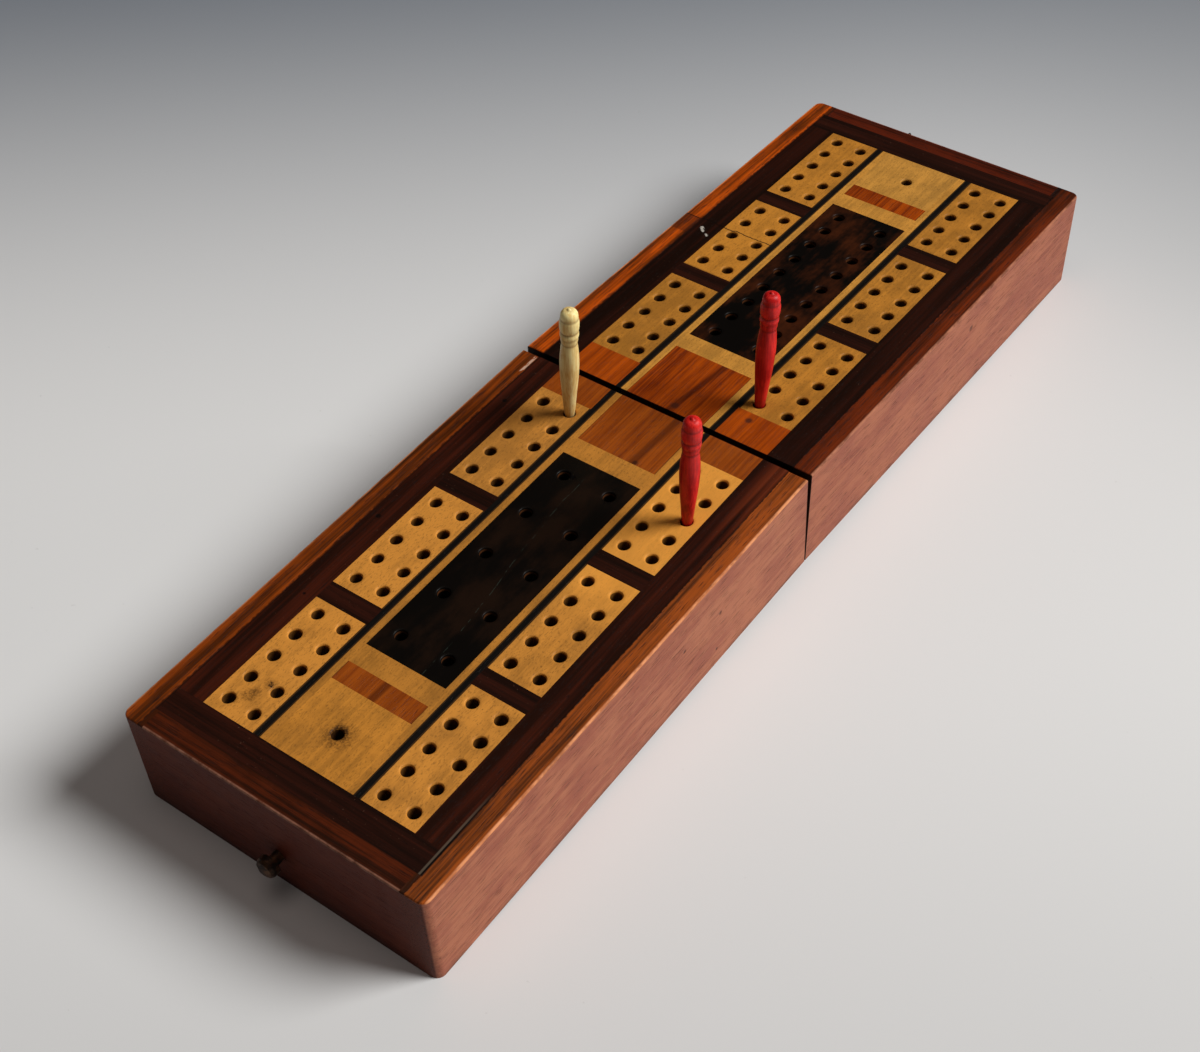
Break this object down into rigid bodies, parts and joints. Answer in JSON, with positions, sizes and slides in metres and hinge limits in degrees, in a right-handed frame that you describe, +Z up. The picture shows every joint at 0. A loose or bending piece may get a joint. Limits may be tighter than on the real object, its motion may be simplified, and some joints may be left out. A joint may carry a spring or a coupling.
{
  "type": "cribbage board box",
  "caption": "Folding wooden pegging box: two hollow inlaid halves hinged end to end, drilled playing faces, hook catch and turned pegs.",
  "frame": {"origin": "bottom centre of the open box, on the table under the middle of the hinged join", "axes": "+Z up; +Y along the open box towards the half with the hook; +X to the right seen from the half with the stud"},
  "size_m": [0.0762, 0.264, 0.0594],
  "materials": {
    "mahogany": "oiled",
    "rosewood": "waxed",
    "maple": "waxed",
    "black_wood": "waxed",
    "ebony": "waxed",
    "tulipwood": "waxed",
    "brass": "aged",
    "pale_bone": "polished",
    "red_bone": "polished"
  },
  "bodies": {
    "near_half": {"near_base_board": "mahogany", "near_border_bars": "rosewood", "near_border_end": "rosewood", "near_border_sides": "rosewood", "near_cross_strips": "maple", "near_ebony_panel": "ebony", "near_end_block": "maple", "near_end_rail": "mahogany", "near_hinge_leaves": "brass", "near_hinge_rail": "mahogany", "near_hinge_screws": "brass", "near_left_rail": "mahogany", "near_long_strips": "maple", "near_right_rail": "mahogany", "near_stringing": "black_wood", "near_track_panels": "maple", "near_tulipwood": "tulipwood", "hinge_pins": "brass", "catch_stud": "brass"},
    "far_half": {"far_base_board": "mahogany", "far_border_bars": "rosewood", "far_border_end": "rosewood", "far_border_sides": "rosewood", "far_cross_strips": "maple", "far_ebony_panel": "ebony", "far_end_block": "maple", "far_end_rail": "mahogany", "far_hinge_leaves": "brass", "far_hinge_rail": "mahogany", "far_hinge_screws": "brass", "far_left_rail": "mahogany", "far_long_strips": "maple", "far_right_rail": "mahogany", "far_stringing": "black_wood", "far_track_panels": "maple", "far_tulipwood": "tulipwood", "hook_screw": "brass"},
    "hook": {"hook": "brass"},
    "ivory_peg": {"ivory_peg": "pale_bone"},
    "near_red_peg": {"near_red_peg": "red_bone"},
    "far_red_peg": {"far_red_peg": "red_bone"}
  },
  "joints": [
    {"name": "fold", "type": "hinge", "parent": "near_half", "child": "far_half", "pos_m": [0, 0, 0.0029], "axis": [-1, 0, 0], "range_deg": [-2.8, 177.2]},
    {"name": "hook_swing", "type": "hinge", "parent": "far_half", "child": "hook", "pos_m": [0, 0.12712, 0.0064], "axis": [0, 0.9997, -0.0244], "range_deg": [-139, 190]},
    {"name": "ivory_peg_lift", "type": "slide", "parent": "near_half", "child": "ivory_peg", "axis": [0.0785, -0.0382, 0.9962], "range_m": [0, 0.04]},
    {"name": "near_red_peg_lift", "type": "slide", "parent": "near_half", "child": "near_red_peg", "axis": [0.075, -0.0504, 0.9959], "range_m": [0, 0.04]},
    {"name": "far_red_peg_lift", "type": "slide", "parent": "far_half", "child": "far_red_peg", "axis": [0.0436, 0.0331, 0.9985], "range_m": [0, 0.04]}
  ]
}
